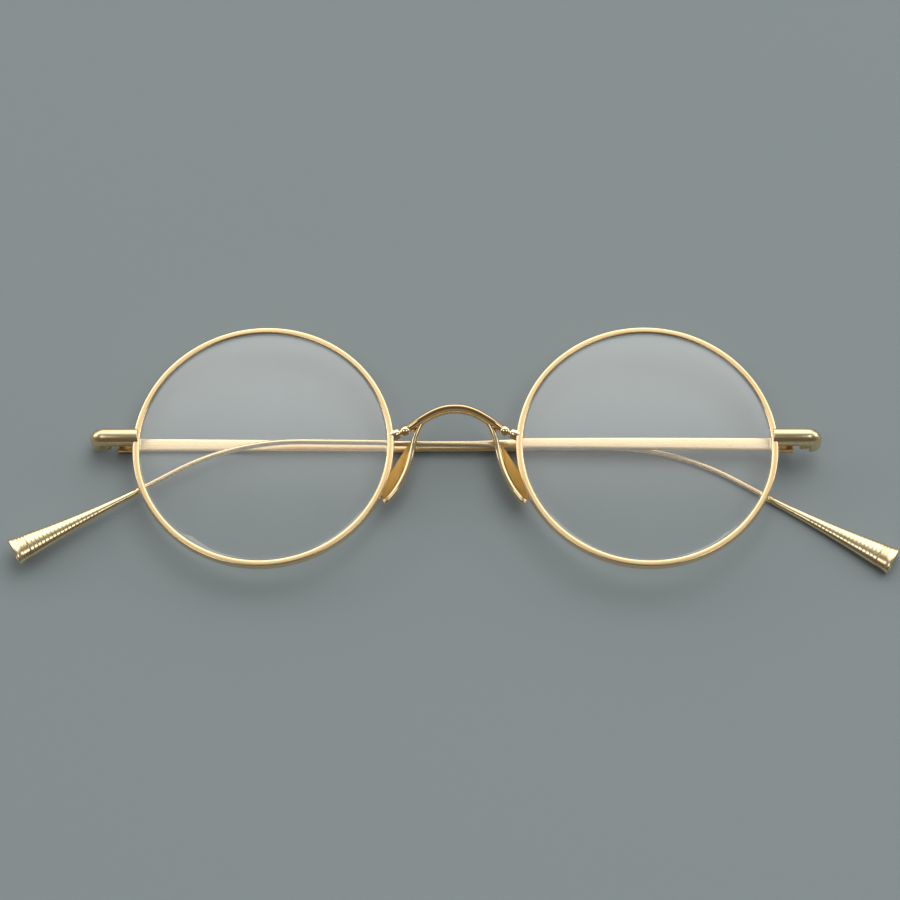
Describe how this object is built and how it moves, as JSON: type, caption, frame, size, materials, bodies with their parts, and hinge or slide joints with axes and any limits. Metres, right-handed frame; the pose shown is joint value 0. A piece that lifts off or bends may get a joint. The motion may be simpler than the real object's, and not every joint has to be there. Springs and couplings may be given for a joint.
{
  "type": "eyeglasses",
  "caption": "Round metal wire eyeglasses with clear lenses, a saddle bridge with metal nose pads, barrel hinges and folding temples with flared ridged tips.",
  "frame": {"origin": "middle of the folded glasses, on the surface that they lie on, level with the lens centres", "axes": "+X from the wearer's right end piece to the left one, +Y from the bottom of the rims to their top, +Z out of the front of the lenses, away from the surface"},
  "size_m": [0.1609, 0.0476, 0.0088],
  "materials": {
    "rim_gold": "satin gold finish with polished edges",
    "polished_gold": "polished gold",
    "pad_gold": "polished gold, satin on the faces",
    "end_piece_gold": "satin champagne gold",
    "temple_gold": "fine satin pale gold, brushed along the temple",
    "sleeve_gold": "engraved satin gold",
    "hinge_gold": "machined gold finish",
    "foot_gold": "polished gold",
    "lock_gold": "machined gold finish",
    "screw_gold": "polished gold",
    "clear_lens": "clear, coated",
    "washer_polymer": "natural polymer"
  },
  "bodies": {
    "front": {"bridge": "polished_gold", "bridge_foot_left": "foot_gold", "bridge_foot_right": "foot_gold", "end_piece_left": "end_piece_gold", "end_piece_right": "end_piece_gold", "hinge_front_leaf_left": "hinge_gold", "hinge_front_leaf_right": "hinge_gold", "hinge_screw_left": "screw_gold", "hinge_screw_right": "screw_gold", "hinge_washer_lower_left": "washer_polymer", "hinge_washer_lower_right": "washer_polymer", "hinge_washer_upper_left": "washer_polymer", "hinge_washer_upper_right": "washer_polymer", "lens_left": "clear_lens", "lens_right": "clear_lens", "lock_block_lower_left": "lock_gold", "lock_block_lower_right": "lock_gold", "lock_block_upper_left": "lock_gold", "lock_block_upper_right": "lock_gold", "lock_screw_left": "screw_gold", "lock_screw_right": "screw_gold", "nose_pad_left": "pad_gold", "nose_pad_right": "pad_gold", "rim_left": "rim_gold", "rim_right": "rim_gold"},
    "temple_right": {"temple_right": "temple_gold", "tip_sleeve_right": "sleeve_gold", "hinge_temple_leaf_right": "hinge_gold"},
    "temple_left": {"temple_left": "temple_gold", "tip_sleeve_left": "sleeve_gold", "hinge_temple_leaf_left": "hinge_gold"}
  },
  "joints": [
    {"name": "temple_right_hinge", "type": "hinge", "parent": "front", "child": "temple_right", "pos_m": [-0.06382, 0.0018, 0.003], "axis": [0, 1, 0], "range_deg": [0, 89.1]},
    {"name": "temple_left_hinge", "type": "hinge", "parent": "front", "child": "temple_left", "pos_m": [0.06387, 0.0018, 0.00501], "axis": [0, -1, 0], "range_deg": [0, 90.9]}
  ]
}
